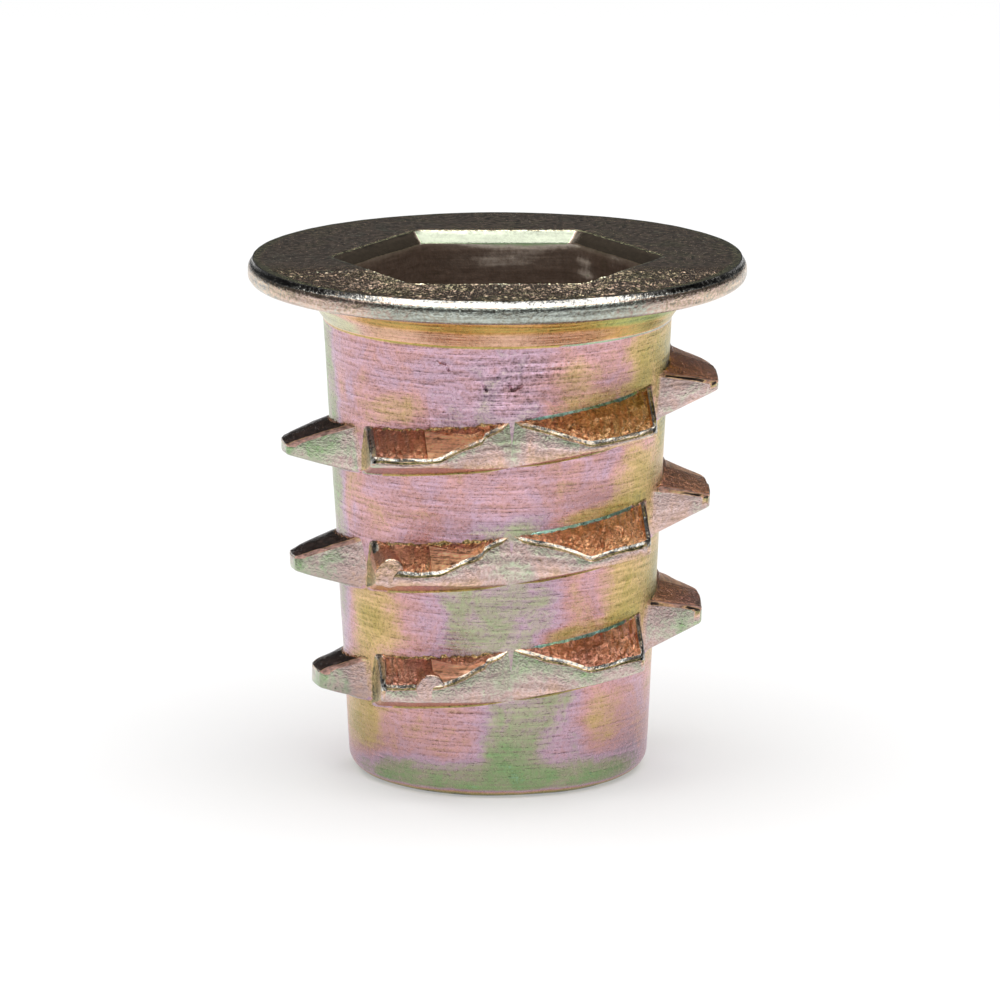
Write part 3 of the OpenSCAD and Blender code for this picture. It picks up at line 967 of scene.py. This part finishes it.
mesh = bpy.data.meshes.new("insert_casting")
casting.to_mesh(mesh)
casting.free()
film = mesh.attributes["film"].data
film.foreach_set("value", [own.value or film_at(v.co / MM) for own, v in zip(film, mesh.vertices)])
drag = mesh.attributes.new("drag", "FLOAT", "POINT").data
drag.foreach_set("value", [drag_and_shade_at(v.co / MM) for v in mesh.vertices])
for finish in FINISHES:
    mesh.materials.append(finish)
mesh.shade_smooth()
mesh.set_sharp_from_angle(angle=radians(CRISP_ANGLE))
insert = bpy.data.objects.new("insert_casting", mesh)
bpy.context.scene.collection.objects.link(insert)
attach(insert, "root")
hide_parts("insert")


# ---- Floor, light and camera -----------------------------------------------------------------

FLOOR_SIZE = 1.5
FLOOR_GLOW = 0.38
WORLD_LEVEL = 0.10
SENSOR_MM = 36
FRAME_PX = 1000


def pale_floor():
    """Matt white paper, without gloss. It glows a little for the camera, reflections and glass, so that
    it looks evenly white and still keeps the insert's shadow."""
    material, tree = empty_material("white_paper_floor")
    rays = add(tree, "ShaderNodeLightPath").outputs
    seen = add(tree, "ShaderNodeMath", {
        0: rays["Is Camera Ray"], 1: rays["Is Glossy Ray"]}, operation="MAXIMUM").outputs[0]
    seen = add(tree, "ShaderNodeMath", {
        0: seen, 1: rays["Is Transmission Ray"]}, operation="MAXIMUM").outputs[0]
    glow = add(tree, "ShaderNodeMath", {0: seen, 1: FLOOR_GLOW}, operation="MULTIPLY").outputs[0]
    shader = add(tree, "ShaderNodeBsdfPrincipled", {
        "Base Color": srgb("#c8c8c8"), "Roughness": 0.9, "Specular IOR Level": 0,
        "Emission Color": (1, 1, 1, 1), "Emission Strength": glow})
    tree.links.new(shader.outputs["BSDF"], add(tree, "ShaderNodeOutputMaterial").inputs["Surface"])
    return material


def softbox(name, centre, target, width, height, level):
    """Area lamp of that radiance, in metres, facing the target."""
    lamp = bpy.data.lights.new(name, "AREA")
    lamp.shape = "RECTANGLE"
    lamp.size, lamp.size_y = width, height
    lamp.energy = level * pi * width * height
    stand = bpy.data.objects.new(name, lamp)
    aim = Vector(target) - Vector(centre)
    stand.matrix_world = Matrix.Translation(centre) @ aim.to_track_quat("-Z", "Y").to_matrix().to_4x4()
    bpy.context.scene.collection.objects.link(stand)


def look(distance, elevation, side, height, roll, focal_px):
    """Camera at a distance in millimetres along its line of sight, which comes down by the elevation in
    degrees and meets the axis at the height, to one side. focal_px is its focal length in pixels."""
    tilt, turn = radians(elevation), radians(roll)
    right, up = Vector((1, 0, 0)), Vector((0, sin(tilt), cos(tilt)))
    back = Vector((0, -cos(tilt), sin(tilt)))
    lens = bpy.data.cameras.new("camera")
    lens.sensor_width = SENSOR_MM
    lens.lens = focal_px / FRAME_PX * SENSOR_MM
    lens.clip_start, lens.clip_end = 0.01, 20
    camera = bpy.data.objects.new("camera", lens)
    across, upward = right * cos(turn) - up * sin(turn), right * sin(turn) + up * cos(turn)
    place = Matrix.Translation((back * distance + Vector((side, 0, height))) * MM)
    camera.matrix_world = place @ Matrix((across, upward, back)).transposed().to_4x4()
    bpy.context.scene.collection.objects.link(camera)
    bpy.context.scene.camera = camera


sheet = bmesh.new()
bmesh.ops.create_grid(sheet, x_segments=1, y_segments=1, size=FLOOR_SIZE)
floor_mesh = bpy.data.meshes.new("floor")
sheet.to_mesh(floor_mesh)
sheet.free()
floor_mesh.materials.append(pale_floor())
floor = bpy.data.objects.new("floor", floor_mesh)
bpy.context.scene.collection.objects.link(floor)

world = bpy.data.worlds.new("dim_room")
bpy.context.scene.world = world
world.use_nodes = True
background = world.node_tree.nodes["Background"].inputs
background["Color"].default_value = srgb("#ffffff")
background["Strength"].default_value = WORLD_LEVEL

softbox("overhead_softbox", centre=(0, -0.06, 0.42), target=(0, -0.06, 0), width=0.62, height=0.56,
        level=3.0)
look(distance=199.5, elevation=12.341, side=0.058, height=6.781, roll=0.067, focal_px=7968.83)
bpy.context.scene.view_settings.view_transform = "Standard"
